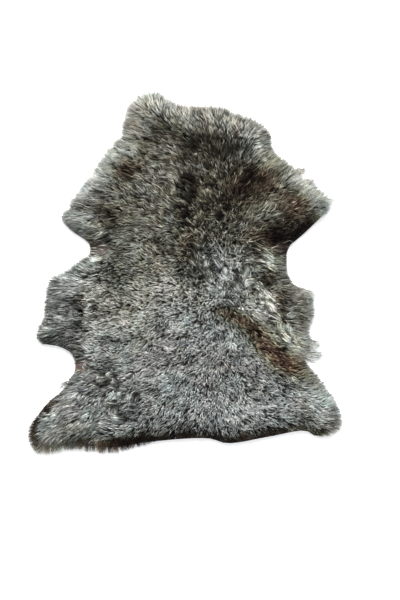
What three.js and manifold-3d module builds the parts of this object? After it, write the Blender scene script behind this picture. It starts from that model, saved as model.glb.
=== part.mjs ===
// A sheepskin laid flat: one hide with its short wool, a lumpy slab with locks of wool at its rim.
// Millimetres, +Z up, +Y towards the neck. The origin is on the floor, under the middle.
import * as THREE from "three";
import { ImprovedNoise } from "three/addons/math/ImprovedNoise.js";
import { mergeVertices } from "three/addons/utils/BufferGeometryUtils.js";
import Module from "manifold-3d";

const wasm = await Module();
wasm.setup();
const noise = new ImprovedNoise();
const { clamp, degToRad, lerp, seededRandom } = THREE.MathUtils;

// Main sizes
const PILE_HEIGHT = 32; // floor to wool tips over the back
const RIM_HEIGHT = 12; // floor to wool tips at a woolly edge
const HIDE_THICKNESS = 3; // bare hide, with no wool on it
const RIM_WIDTH = 50; // the wool reaches its full height this far in from the edge
const GRID_STEP = 17; // spacing of the points that shape the top of the wool
const EDGE_POINTS = 190; // points around the cut edge

// Locks of wool at the rim
const LOCK_SPACING = 21; // along the edge
const LOCK_SIDES = 4;
const LOCK_WIDTH = 34;
const LOCK_THICKNESS = 9;
const LOCK_ROOT = 14; // buried length, in from the edge
const LOCK_LEAN = 45; // degrees to either side, at most
const LEAN_LENGTH = 70; // neighbours within this length lean alike
const SHORTEST_LOCK = 0.8; // share of the wool's reach
const LEAST_WOOL = 11; // an edge with less wool than this has no locks
// Locks lie by turns close to the floor and a little above it.
const LOCK_TIERS = [
  { rootHeight: 6, tipHeight: 4, reach: 1 },
  { rootHeight: 8.5, tipHeight: 14, reach: 0.95 },
];

// The cut edge of the hide, clockwise from the neck, and how far the wool reaches past it
const HIDE_EDGE = [
  { place: "neck, left corner", x: -144, y: 460, wool: 33 },
  { place: "neck, left hump", x: -106, y: 475, wool: 31 },
  { place: "neck, dip", x: -46, y: 433, wool: 29 },
  { place: "neck, middle", x: 74, y: 425, wool: 34 },
  { place: "neck, right bend", x: 122, y: 400, wool: 27 },
  { place: "neck, right", x: 162, y: 383, wool: 37 },
  { place: "neck, right corner", x: 190, y: 352, wool: 32 },
  { place: "right shoulder, hollow", x: 196, y: 302, wool: 25 },
  { place: "right shoulder", x: 245, y: 249, wool: 35 },
  { place: "right shoulder, outer", x: 296, y: 198, wool: 38 },
  { place: "right foreleg, split", x: 315, y: 178, wool: 24 },
  { place: "right foreleg, top", x: 338, y: 160, wool: 29 },
  { place: "right foreleg, tip", x: 348, y: 143, wool: 16 },
  { place: "right foreleg, under", x: 292, y: 76, wool: 6 },
  { place: "right armpit", x: 248, y: 32, wool: 6 },
  { place: "right waist", x: 236, y: -10, wool: 6 },
  { place: "right flank, top", x: 242, y: -76, wool: 14 },
  { place: "right flank, outer", x: 274, y: -108, wool: 26 },
  { place: "right flank, middle", x: 280, y: -150, wool: 28 },
  { place: "right flank, low", x: 265, y: -194, wool: 25 },
  { place: "right flank, upper point", x: 269, y: -222, wool: 31 },
  { place: "right flank, lower point", x: 265, y: -247, wool: 32 },
  { place: "right flank, nick", x: 258, y: -267, wool: 15 },
  { place: "right thigh", x: 291, y: -320, wool: 20 },
  { place: "right hind leg", x: 329, y: -383, wool: 20 },
  { place: "right hind foot", x: 338, y: -419, wool: 20 },
  { place: "right hind corner", x: 328, y: -438, wool: 14 },
  { place: "right hind leg, under", x: 290, y: -450, wool: 9 },
  { place: "rump, nick", x: 268, y: -438, wool: 8 },
  { place: "rump, right", x: 180, y: -452, wool: 9 },
  { place: "rump, middle", x: 84, y: -467, wool: 9 },
  { place: "rump, dip", x: 44, y: -456, wool: 8 },
  { place: "rump, left", x: -96, y: -464, wool: 11 },
  { place: "left hind leg, under", x: -176, y: -476, wool: 24 },
  { place: "left hind leg, middle", x: -272, y: -470, wool: 22 },
  { place: "left hind corner", x: -341, y: -477, wool: 27 },
  { place: "left hind foot", x: -362, y: -440, wool: 13 },
  { place: "left hind leg, top", x: -336, y: -382, wool: 7 },
  { place: "left thigh", x: -291, y: -339, wool: 7 },
  { place: "left notch", x: -275, y: -297, wool: 4 },
  { place: "left notch, top", x: -281, y: -254, wool: 4 },
  { place: "left flank, under", x: -318, y: -232, wool: 7 },
  { place: "left flank, low corner", x: -364, y: -222, wool: 7 },
  { place: "left flank, low", x: -356, y: -198, wool: 16 },
  { place: "left flank, middle", x: -339, y: -159, wool: 22 },
  { place: "left flank, upper", x: -339, y: -112, wool: 27 },
  { place: "left flank, top corner", x: -334, y: -68, wool: 18 },
  { place: "left flank, top", x: -297, y: -46, wool: 24 },
  { place: "left waist", x: -261, y: -10, wool: 8 },
  { place: "left armpit", x: -256, y: 38, wool: 4 },
  { place: "left foreleg, under", x: -312, y: 87, wool: 9 },
  { place: "left foreleg, tip", x: -320, y: 115, wool: 24 },
  { place: "left foreleg, step", x: -308, y: 132, wool: 12 },
  { place: "left foreleg, top", x: -280, y: 172, wool: 29 },
  { place: "left shoulder", x: -232, y: 246, wool: 34 },
  { place: "left shoulder, hollow", x: -207, y: 302, wool: 22 },
  { place: "neck, left foot", x: -173, y: 344, wool: 31 },
  { place: "neck, left", x: -159, y: 408, wool: 33 },
];

// Folds that rise above the pile and hollows that fall below it: middle, direction, half length, half width
const FOLDS = [
  { place: "right flank fold", x: 200, y: -172, turn: -41, long: 95, wide: 28, rise: 12 },
  { place: "valley below that fold", x: 180, y: -226, turn: -45, long: 80, wide: 26, rise: -10 },
  { place: "hollow above that fold", x: 226, y: -122, turn: -40, long: 34, wide: 22, rise: -10 },
  { place: "right shoulder crease", x: 143, y: 203, turn: 55, long: 58, wide: 17, rise: -9 },
  { place: "neck hollow", x: 110, y: 320, turn: -54, long: 46, wide: 26, rise: -9 },
  { place: "neck hump", x: -105, y: 415, turn: 10, long: 40, wide: 30, rise: 6 },
  { place: "left shoulder hollow", x: -190, y: 245, turn: 0, long: 30, wide: 26, rise: -8 },
  { place: "left foreleg fold", x: -272, y: 88, turn: -27, long: 52, wide: 18, rise: 7 },
  { place: "left foreleg crease", x: -236, y: 121, turn: -15, long: 44, wide: 15, rise: -9 },
  { place: "right foreleg hollow", x: 230, y: 75, turn: 35, long: 38, wide: 22, rise: -12 },
  { place: "back hollow", x: 18, y: -75, turn: 75, long: 26, wide: 18, rise: -8 },
  { place: "left flank hollow", x: -292, y: -152, turn: 88, long: 72, wide: 24, rise: -13 },
  { place: "body's edge beside it", x: -246, y: -150, turn: 88, long: 80, wide: 20, rise: 6 },
  { place: "left hind hollow", x: -206, y: -344, turn: 20, long: 26, wide: 20, rise: -8 },
  { place: "rump roll", x: 145, y: -398, turn: 28, long: 80, wide: 20, rise: 8 },
];

// Lumps that make the whole pile uneven: their size across, and how far they rise or fall
const LUMPS = [
  { size: 95, rise: 9 },
  { size: 42, rise: 6 },
];

// The edge as a closed curve, with the wool's reach along it
const edgeCurve = new THREE.CatmullRomCurve3(
  HIDE_EDGE.map(({ x, y }) => new THREE.Vector3(x, y, 0)),
  true,
  "centripetal",
);
const edgePoints = [];
for (let i = 0; i < EDGE_POINTS; i++) {
  const share = i / EDGE_POINTS;
  edgePoints.push({ at: edgeCurve.getPointAt(share), wool: woolReach(share) });
}
const edgeShape = new THREE.Shape(edgePoints.map(({ at }) => new THREE.Vector2(at.x, at.y)));

// How far the wool reaches past the edge, at a share of the way around it
function woolReach(share) {
  const row = edgeCurve.getUtoTmapping(share) * HIDE_EDGE.length;
  const before = HIDE_EDGE[Math.floor(row) % HIDE_EDGE.length];
  const after = HIDE_EDGE[(Math.floor(row) + 1) % HIDE_EDGE.length];
  return lerp(before.wool, after.wool, row % 1);
}

// The nearest point of the edge: how far a place lies inside it, and the wool's reach there
function nearestEdge(x, y) {
  const place = new THREE.Vector3(x, y, 0);
  const onSide = new THREE.Vector3();
  const nearest = { distance: Infinity, wool: 0 };
  let inside = false;
  edgePoints.forEach(({ at, wool }, i) => {
    const next = edgePoints[(i + 1) % EDGE_POINTS].at;
    new THREE.Line3(at, next).closestPointToPoint(place, true, onSide);
    const distance = onSide.distanceTo(place);
    if (distance < nearest.distance) {
      nearest.distance = distance;
      nearest.wool = wool;
    }
    const crosses = at.y > y !== next.y > y;
    if (crosses && x < at.x + ((y - at.y) / (next.y - at.y)) * (next.x - at.x)) {
      inside = !inside;
    }
  });
  return { inside: inside ? nearest.distance : 0, wool: nearest.wool };
}

function foldHeight(x, y) {
  return FOLDS.reduce((sum, fold) => {
    const turn = degToRad(fold.turn);
    const along = (x - fold.x) * Math.cos(turn) + (y - fold.y) * Math.sin(turn);
    const across = (y - fold.y) * Math.cos(turn) - (x - fold.x) * Math.sin(turn);
    return sum + fold.rise * Math.exp(-((along / fold.long) ** 2) - (across / fold.wide) ** 2);
  }, 0);
}

function lumpHeight(x, y) {
  return LUMPS.reduce((sum, { size, rise }) => sum + rise * noise.noise(x / size, y / size, size), 0);
}

// Height of the wool above the floor: rounded down to the rim, and lowest where the edge is bare hide
function pileHeight(x, y) {
  const { inside, wool } = nearestEdge(x, y);
  const rim = lerp(HIDE_THICKNESS, RIM_HEIGHT, clamp(wool / LEAST_WOOL, 0, 1));
  const full = PILE_HEIGHT + foldHeight(x, y) + lumpHeight(x, y);
  return lerp(rim, full, Math.sin((Math.PI / 2) * clamp(inside / RIM_WIDTH, 0, 1)));
}

function solidOf(geometry) {
  geometry.deleteAttribute("normal");
  geometry.deleteAttribute("uv");
  const closed = mergeVertices(geometry, 1e-4);
  return new wasm.Manifold(
    new wasm.Mesh({
      numProp: 3,
      vertProperties: closed.attributes.position.array,
      triVerts: new Uint32Array(closed.index.array),
    }),
  );
}

// A block with a flat underside and the lumpy top of the wool, wider than the hide
function lumpyBlock() {
  const box = new THREE.Box2().setFromPoints(edgeShape.getPoints()).expandByScalar(GRID_STEP);
  const size = box.getSize(new THREE.Vector2());
  const middle = box.getCenter(new THREE.Vector2());
  const columns = Math.round(size.x / GRID_STEP);
  const rows = Math.round(size.y / GRID_STEP);
  const block = new THREE.BoxGeometry(size.x, size.y, PILE_HEIGHT, columns, rows, 1);
  block.translate(middle.x, middle.y, PILE_HEIGHT / 2);
  const points = block.attributes.position;
  for (let i = 0; i < points.count; i++) {
    if (points.getZ(i) > PILE_HEIGHT / 2) {
      points.setZ(i, pileHeight(points.getX(i), points.getY(i)));
    }
  }
  return solidOf(block);
}

// One tapered lock from its buried root to its tip
function lockOfWool(root, tip) {
  const along = tip.clone().sub(root);
  const side = along.clone().cross(new THREE.Vector3(0, 0, 1)).normalize();
  const up = side.clone().cross(along).normalize();
  const cone = new THREE.ConeGeometry(1, 1, LOCK_SIDES).translate(0, 0.5, 0);
  const placed = new THREE.Matrix4().makeBasis(
    side.multiplyScalar(LOCK_WIDTH / 2),
    along,
    up.multiplyScalar(LOCK_THICKNESS / 2),
  );
  return solidOf(cone.applyMatrix4(placed.setPosition(root)));
}

function rimLocks() {
  const locks = [];
  const count = Math.round(edgeCurve.getLength() / LOCK_SPACING);
  for (let i = 0; i < count; i++) {
    const share = i / count;
    const wool = woolReach(share);
    if (wool < LEAST_WOOL) {
      continue;
    }
    const tier = LOCK_TIERS[i % LOCK_TIERS.length];
    const reach = wool * tier.reach * lerp(SHORTEST_LOCK, 1, seededRandom(i));
    const lean = degToRad(LOCK_LEAN) * noise.noise((i * LOCK_SPACING) / LEAN_LENGTH, 0.5, 0.5);
    const tangent = edgeCurve.getTangentAt(share);
    const outward = new THREE.Vector3(-tangent.y, tangent.x, 0);
    const edge = edgeCurve.getPointAt(share);
    const root = edge.clone().addScaledVector(outward, -LOCK_ROOT).setZ(tier.rootHeight);
    const sweep = outward.applyAxisAngle(new THREE.Vector3(0, 0, 1), lean);
    const tip = edge.clone().addScaledVector(sweep, reach).setZ(tier.tipHeight);
    locks.push(lockOfWool(root, tip));
  }
  return locks;
}

function sheepskin() {
  const prism = new THREE.ExtrudeGeometry(edgeShape, { depth: 3 * PILE_HEIGHT, bevelEnabled: false });
  const slab = lumpyBlock().intersect(solidOf(prism.translate(0, 0, -PILE_HEIGHT)));
  const body = rimLocks().reduce((whole, lock) => whole.add(lock), slab);
  const faces = body.getMesh();
  const geometry = new THREE.BufferGeometry();
  geometry.setAttribute("position", new THREE.BufferAttribute(faces.vertProperties, 3));
  geometry.setIndex(new THREE.BufferAttribute(faces.triVerts, 1));
  geometry.computeBoundingBox();
  const middle = geometry.boundingBox.getCenter(new THREE.Vector3());
  geometry.translate(-middle.x, -middle.y, 0);
  geometry.computeVertexNormals();
  const wool = new THREE.MeshStandardMaterial({ name: "wool", color: 0x77736a, roughness: 0.95 });
  const mesh = new THREE.Mesh(geometry, wool);
  mesh.name = "sheepskin";
  return mesh;
}

const part = new THREE.Group();
part.add(sheepskin());
export default part;
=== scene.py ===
"""A sheepskin laid flat on a pale floor: its hide, its dark underwool and its wool in clumped strands."""
import math

import bpy
import numpy as np
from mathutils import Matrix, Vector
from mathutils.bvhtree import BVHTree
from mathutils.geometry import delaunay_2d_cdt


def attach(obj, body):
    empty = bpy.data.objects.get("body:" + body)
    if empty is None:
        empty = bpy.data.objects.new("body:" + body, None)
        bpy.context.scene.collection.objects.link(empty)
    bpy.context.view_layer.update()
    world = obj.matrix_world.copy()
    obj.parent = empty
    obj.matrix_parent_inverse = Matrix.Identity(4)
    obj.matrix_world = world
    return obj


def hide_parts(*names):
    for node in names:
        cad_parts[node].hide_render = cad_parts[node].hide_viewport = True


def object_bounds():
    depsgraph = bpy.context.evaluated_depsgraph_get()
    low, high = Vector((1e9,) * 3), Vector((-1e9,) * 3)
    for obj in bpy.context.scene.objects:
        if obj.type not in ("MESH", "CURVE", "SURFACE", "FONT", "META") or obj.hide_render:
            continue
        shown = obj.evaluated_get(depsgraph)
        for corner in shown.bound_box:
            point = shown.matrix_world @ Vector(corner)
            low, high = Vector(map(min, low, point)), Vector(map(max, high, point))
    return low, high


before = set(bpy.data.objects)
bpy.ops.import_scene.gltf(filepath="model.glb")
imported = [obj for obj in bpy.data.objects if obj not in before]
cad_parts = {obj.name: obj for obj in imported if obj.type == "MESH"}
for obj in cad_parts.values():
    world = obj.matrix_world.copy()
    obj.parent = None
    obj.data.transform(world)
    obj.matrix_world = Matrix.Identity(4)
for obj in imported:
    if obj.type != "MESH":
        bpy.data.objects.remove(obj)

cad_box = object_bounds()
rng = np.random.default_rng(7)

# Hide and underwool, in metres
HIDE_THICKNESS = 0.0025
HIDE_STEP = 0.02  # spacing of the hide's points
UNDERWOOL_STEP = 0.007
UNDERWOOL_SHARE = 0.5  # of the pile's height
UNDERWOOL_LUMPS = 0.0015  # height of its lumps, and their size
UNDERWOOL_LUMP_SIZE = 0.012
UNDERWOOL_OVERHANG = 0.002  # how far it covers the cut edge
SHEET_STRAY = 0.25  # how far the points of both stray, and keep from the border, as shares of their spacing
BORDER_SHARE = 0.6
BARE_MARGIN = 0.006  # where the hide is bare, the underwool stops this far short of the edge
BARE_DEPTH = 0.0005  # and sinks this far below the hide's top
BARE_SINK_SPREAD = 1.7  # in a place this much wider
BARE_LIGHT_SPREAD = 1.5  # and the hide is lighter or darker in one this much wider
BARE_SHARE = 0.9  # of the strands are missing there
HEIGHT_STEP = 0.005  # spacing at which the solid's top is read
REACH_SPAN = 0.025  # length of edge to either side along which its locks are read

# Noise: the cells after which it repeats, and the seed of each kind
LATTICE = 64
WAVE_SEED = 11
WARMTH_SEED = 15
WANDER_SEEDS = (21, 31)
LUMP_SEED = 41
RIPPLE_SEEDS = (51, 52)
TUFT_SEED = 61
RED_SEED = 71

# Wool strands
CLUMP_SPACING = 0.0035
CLUMP_STRAY = 0.5  # as a share of the spacing
LEAST_INSIDE = 0.001  # how far clumps keep from the edge
CLUMP_STRANDS = 3
CLUMP_WIDTH = 0.004
CLUMP_TIP_SHARE = 0.5  # how wide a clump is at its tips
CLUMP_STOPS = 0.75  # how much clumps, and strands in them, differ in shade
STRAND_STOPS = 1.65
STRAND_WIDTH = 0.0013
FINER = 0.2  # share by which strands are finer at the rim, and half of it over the fore part
BROADER = 0.4  # share by which they are broader where the wool is combed
STRAND_ROOT_SHARE = 0.5  # height of the root, as a share of the pile
KNEE_SHARE = 0.25  # where a strand bends over, as a share of the way to its tip
KNEE_RISE = 0.85  # and of the way up
HIGHEST_WAVE = 1.05  # greatest factor by which waves raise the pile
REGIONS = ("rump", "thighs", "loin", "back", "chest", "shoulders", "neck")  # one piece of wool for each
REGION_EDGES = (-0.36, -0.24, -0.12, 0.0, 0.13, 0.27)

# Least and greatest factor by which clumps and strands vary
LEAN_VARIES = (0.7, 1.3)
HEIGHT_VARIES = (0.86, 1.04)
ROOM_VARIES = (0.8, 1.0)
TIP_VARIES = (0.85, 1.05)
WIDTH_VARIES = (0.7, 1.3)
GAIN_VARIES = (0.7, 1.2)  # how light the tips are

# How the wool leans
LEAN_CORE = 0.008  # how far a tip leans from its root, in the middle of the back
LEAN_BODY = 0.014
LEAN_FORE = 0.022  # over the shoulders and the neck
FORE_START = -0.06  # the wool changes to that between these two places along the skin
FORE_FULL = 0.08
LEAN_RIM = 0.042
RIM_SWEEP = 0.055  # within this of the edge the wool lies down outward
LEAST_OUTWARD = 0.3  # least share of a lean that counts as outward
DARK_UPRIGHT = 0.7  # share by which it leans less at a dark edge
SPINE_X = 0.085  # the wool leans to both sides of a line along the back, which slants by this slope
SPINE_SLOPE = 0.11
PARTING_Y = 0.03  # it leans forward before this place, and back behind it
PARTING_SIZE = 0.10
FLOW_ALONG = 0.10  # how much: as much as it leans aside at this distance from the line
FLOW_SCATTER = (0.035, 0.06)  # how far line and parting vary from clump to clump
CORE = (0.03, -0.10)  # the middle of the back, where the wool stands more upright
CORE_SIZE = (0.08, 0.20)  # half width and length
WANDER = 0.3  # how much the lean wanders
WANDER_SIZES = (0.03, 0.08)
CLUMP_TURN = 0.22  # radians by which clumps turn aside, and what the core and the fore part add
CORE_TURN = 0.3
FORE_TURN = -0.08
RIM_STEADY = 0.8  # shares by which it wanders less, and they turn less, at the rim
RIM_CALM = 0.6

# Tufts, each with a lean and a shade of its own
TUFT_SIZE = 0.022
TUFT_TURN = 0.25  # radians
TUFT_STOPS = 0.35
TUFT_GATHER = 0.2  # share by which the tips are drawn to the tuft's middle

# Soft waves in the wool: size, share by which they raise it, stops by which they lighten it
# painted light and shade: the waves lighten the wool where they raise it and darken it where they lower it
WAVES = [(0.075, 0.08, 0.4), (0.032, 0.10, 0.7), (0.015, 0.10, 0.9)]

# The curlier part of the back: its middle, half width and length, and how much more waves, shade and
# heading differ there
CURL_PLACE = (0.065, 0.065)
CURL_SIZE = (0.13, 0.24)
CURL_WAVES = 0.6
CURL_STOPS = 0.9
CURL_TURN = 0.35
CURL_SHADE = -0.2  # stops, darker there

# Ripples where one layer of wool lies over the next: the wool is raised along them, with painted light on the
# rises and painted shade in the dips
RIPPLE_SIZE = 0.026
RIPPLE_BEND = 1.5  # how far they wander, in ripples
RIPPLE_BEND_SIZE = 0.06
RIPPLE_PATCH = 0.08  # size of the places with and without them
RIPPLE_RISE = 0.06
RIPPLE_SHADE_STOPS = 0.6

# Rim wool that overhangs the cut edge
RIM_SPACING = 0.0022
RIM_TIERS = 3
RIM_STRANDS = 4
RIM_DEPTH = 0.035  # how far inside the edge it grows, and the least and the greatest share of that
RIM_ROOTS = (0.1, 1.0)
RIM_WIDTH = 0.0010
RIM_SPREAD = 0.003  # how far strands stray to the side, and the share of that at their tips
RIM_TIP_SPREAD = 0.7
RIM_LOCK = 0.013  # the rim wool gathers into locks of this width
RIM_GATHER = 0.35  # share of the way to their middle
RIM_TURN = (0.2, 0.1)  # radians by which locks, and places in them, turn aside
RIM_SHADES = (0.5, 0.35, 0.4)  # stops by which locks, places in them and strands differ
RIM_REACHES = (0.88, 1.0)  # least and greatest share of the reach that a lock or a strand has
RIM_GAIN = (0.8, 1.2)  # how light the tips are
RIM_RISE = 0.007  # how far the lowest tier rises before it bends over
RIM_BEND = 0.55  # where along a strand its ring lies
TIER_HEIGHT = 0.004
TIER_SHORTER = 0.06  # share by which each tier is shorter than the one below it
RIM_TIP_HEIGHT = 0.3  # as a share of the root's
RIM_VARIES = (0.003, 0.005)  # how far the heights of root and tip vary
LEAST_REACH = 0.004
LONG_REACH = 0.012  # wool that reaches further past the edge is lighter by up to RIM_STOPS
RIM_STOPS = 1.4
DARK_WIDTH = 0.018  # within this of a dark edge the wool is darker, as painted shade, and warmer by these, and upright
EDGE_SHADE_STOPS = -3.6
DARK_WARMTH = 1.6

# Colours, linear
# the dark roots are partly the wool's own colour, partly painted shade deep in the pile
SHADED_ROOT_COLOUR = np.array((0.014, 0.012, 0.009))
MIDDLE_COLOUR = np.array((0.096, 0.098, 0.081))
TIP_COLOUR = np.array((0.690, 0.710, 0.655))
# the underwool's darkness is partly its own colour, partly painted shade deep in the pile
SHADED_UNDERWOOL_COLOUR = np.array((0.036, 0.034, 0.028))
HIDE_COLOUR = np.array((0.150, 0.118, 0.100))

TINTS = [
    # name, warmth, factors on red, green and blue
    ("cool", -1, 0.98, 1, 1.13),
    ("plain", 0, 1, 1, 1),
    ("olive", 0.8, 1.09, 1, 0.79),
    ("brown", 1.8, 1.45, 1, 0.77),
    ("red brown", 3, 1.75, 1, 0.82),
]
DARK_HUE = 0.17  # wool is warmer by this for each stop that it is darker
HUE_SIZES = (0.012, 0.025, 0.055)  # sizes of the patches in which the hue differs
HUE_WARMTH = 0.21  # how much it does, as warmth and as a share of the red
HUE_RED = 0.038
BRIGHTEST = 0.95  # no colour of the wool is brighter or darker than these
DARKEST = 0.002

# Painted shade and light: a hollow this deep is darker, and a crest this high lighter, by these stops
HOLLOW_DEPTH = 0.006
HOLLOW_SHADE_STOPS = 0.8


def in_metres(count, rows):
    """The rows of a table, whose first so many numbers are sizes in millimetres, with these in metres."""
    return [(name, *(size / 1000 for size in row[:count]), *row[count:]) for name, *row in rows]


# Patches of darker or lighter wool, partly its own shade and hue, partly painted shade in hollows, creases,
# joints and under the legs, and painted light over the lower half: middle, half length and width, direction,
# stops, warmth (see TINTS)
TONE_AND_SHADE_PATCHES = in_metres(4, [
    # place, x, y, long, wide, turn, stops, warmth
    ("neck", -20, 335, 120, 70, 0, -1.7, 0.2),
    ("neck, left hollow", -80, 385, 35, 40, 0, -2.3, 0.2),
    ("neck, left rim", -160, 430, 50, 75, 0, 0.6, 0),
    ("neck hollow", 55, 313, 85, 37, -12, -3.3, 0),
    ("neck hollow, left", -70, 285, 40, 40, 0, 0.9, 0.1),
    ("neck, left side", -120, 300, 30, 55, 0, -0.8, 0.3),
    ("neck hollow, foot", 30, 268, 20, 18, 0, 0.8, 0),
    ("neck hollow, below", 105, 265, 50, 35, 0, -1.7, 0),
    ("neck, right locks", 190, 318, 26, 50, 0, 0.4, 0),
    ("neck hollow, right", 130, 330, 18, 26, 0, -1.1, 0),
    ("neck, right foot", 205, 265, 38, 26, 0, 1.4, 0),
    ("left shoulder hollow", -165, 243, 36, 24, 20, -3.4, 1.4),
    ("left shoulder, below it", -168, 190, 34, 34, 0, -1.1, 0.1),
    ("left shoulder, light", -120, 207, 26, 22, 0, 0.9, 0),
    ("left shoulder", -205, 110, 45, 90, 0, -1.1, 0.1),
    ("left shoulder rim", -250, 226, 120, 26, 53, 2, -0.2),
    ("shoulders", -15, 165, 190, 145, 0, -1.7, 0.3),
    ("upper back", 80, 195, 100, 90, 0, -1.5, 0.1),
    ("right shoulder", 172, 190, 80, 65, 40, -1.8, 1.2),
    ("right shoulder crease", 160, 234, 40, 11, 45, -3.8, 0.4),
    ("right shoulder, low crease", 120, 165, 55, 18, 52, -2.2, 0.4),
    ("right shoulder spot", 190, 218, 34, 20, 40, -2.2, 0.6),
    ("right shoulder, light", 218, 148, 26, 28, 0, 2.1, 0.2),
    ("upper back, left crease", -5, 215, 34, 10, -32, -3, 0.3),
    ("upper back, crease", 0, 115, 34, 11, 8, -2, 0.3),
    ("upper back, right crease", 45, 85, 24, 11, -60, -0.9, 0.3),
    ("upper back, between creases", -20, 152, 30, 20, 0, 0.9, 0),
    ("right foreleg", 280, 130, 45, 45, 0, -2.6, 1.1),
    ("right foreleg, fringe", 314, 188, 70, 25, -45, 3.3, 0),
    # painted shade under the right foreleg and in the right armpit
    ("right foreleg, under", 232, 50, 55, 42, 20, -4.6, 1.3),
    ("right of the chest", 180, 55, 40, 45, 0, 0.5, 0.5),
    ("right armpit", 226, 37, 22, 22, 0, -2.9, 0.9),
    ("left foreleg", -290, 88, 35, 25, -25, 0.6, -0.2),
    ("left foreleg crease", -230, 120, 50, 10, -14, -2.6, 0.2),
    ("left chest", -105, 57, 62, 50, 0, 1.7, 0),
    ("back, left", -75, -60, 140, 24, 90, 0.6, 0),
    ("chest", 10, 45, 170, 85, 0, -1.4, 0.2),
    ("chest, light tuft", 52, 90, 36, 18, 0, 1.9, 0),
    ("chest, right", 85, 45, 30, 30, 0, -0.6, 0.2),
    ("left waist", -175, -30, 62, 50, 0, -1.3, 0.2),
    ("right waist", 170, -20, 30, 35, 0, -0.8, 0),
    ("right waist, locks", 220, -20, 32, 34, 0, 1.5, 0.5),
    ("spine", -14, 10, 70, 22, 88, -0.9, 0.2),
    ("back, light tuft", 34, -22, 22, 18, 0, 0.9, 0),
    ("loin", -22, -120, 70, 22, 90, -0.7, 0),
    ("back hole", 32, -76, 18, 11, 60, -2.2, 0.7),
    ("back, right", 80, -60, 55, 90, 0, 1.3, -0.3),
    ("left belly, upper", -200, -110, 60, 60, 0, -0.6, 0),
    ("belly, left", -100, -130, 100, 60, 0, 0.5, 0),
    ("left flank", -328, -140, 90, 35, 90, -0.8, -0.3),
    # painted shadow where the body's wool overhangs the left flank
    ("left flank, joint", -277, -132, 20, 24, 0, -2.4, 0),
    ("left flank, lower joint", -273, -197, 32, 26, 0, -2.6, 0),
    ("left flank, inner edge", -262, -165, 75, 12, 88, -1.6, 0),
    ("left flank, low", -335, -228, 60, 24, 0, -1.9, 0),
    ("left flank, top", -292, -64, 45, 35, 0, 1.3, -0.6),
    ("beside left flank", -245, -130, 70, 12, 88, 0.8, -0.1),
    # painted light: the lower half is lighter and cooler
    ("lower half", -20, -265, 290, 170, 0, 1.1, -0.5),
    ("left of the back", -115, -110, 100, 170, 0, 0, 0.4),
    ("thighs", 0, -375, 250, 45, 0, 0.6, -0.4),
    ("right of the rump", 135, -405, 75, 45, 0, 1.2, -0.5),
    ("below the back", 80, -245, 40, 45, 0, 1.1, -0.2),
    ("flank fold", 200, -164, 95, 37, -56, 1.2, 0.5),
    ("flank fold, points", 275, -235, 34, 20, -10, 1, 0.6),
    ("flank valley, upper", 112, -172, 50, 16, -28, -2.4, 2.2),
    ("flank valley", 182, -234, 64, 28, -50, -2, 2.4),
    ("flank valley, end", 240, -288, 55, 26, -25, -2, 1.9),
    ("flank hollow", 234, -134, 44, 16, 78, -3.7, 0.7),
    ("flank, upper hollow", 210, -68, 27, 18, 70, -3.6, 1.1),
    ("right flank", 280, -155, 26, 50, 0, -1.7, 0.5),
    ("right hind leg", 310, -360, 50, 50, 0, 2.6, 0),
    ("rump", 0, -430, 140, 28, 0, -0.2, -0.4),
    ("rump crease", 165, -398, 80, 9, 20, 1.6, -0.3),
    ("rump crease, below", 175, -420, 80, 14, 20, -0.5, 0.1),
    ("rump, left end", -100, -472, 60, 20, 0, -2.3, 0.6),
    ("rump, left", -120, -425, 35, 22, 0, 0.7, -0.2),
    ("rump, middle", 30, -395, 30, 45, 0, -0.5, 0),
    ("left hind spot", -200, -348, 20, 14, 20, -1.6, 0.3),
    ("left hind leg", -300, -380, 50, 34, 45, 2.2, -0.1),
    ("left thigh", -135, -305, 60, 45, 0, 0.8, 0),
])

# Places at the edge where the hide shows bare: how far, and how light it is there
BARE = in_metres(3, [
    # place, x, y, radius, light
    ("left armpit", -232, 16, 34, 0.9),
    ("left notch", -262, -290, 28, 2.2),
    # painted shade: the hide under the right foreleg is darker
    ("right armpit", 240, 20, 26, 0.25),
])

# Places where the edge is dark, with hardly any wool over it: partly its own dark roots, partly painted shade
# on the side of the pile that faces away from the light
DARK_SHADED_EDGES = in_metres(4, [
    # place, x, y, long, wide
    ("rump", 40, -468, 250, 50),
    ("left hind leg", -338, -403, 55, 58),
    ("right foreleg, under", 268, 52, 58, 58),
])

# Places where the rim wool stops short, and the share of its reach that is lost
NICKS = in_metres(3, [
    # place, x, y, radius, share
    ("neck, left corner", -138, 460, 7, 0.6),
    ("neck, left foot", -168, 343, 9, 0.4),
    ("left shoulder step", -193, 310, 9, 0.5),
    ("left foreleg step", -302, 131, 10, 0.7),
    ("right foreleg split", 283, 215, 8, 0.6),
    ("right flank, between points", 273, -237, 6, 0.5),
    ("right flank nick", 265, -267, 10, 0.4),
])

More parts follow.
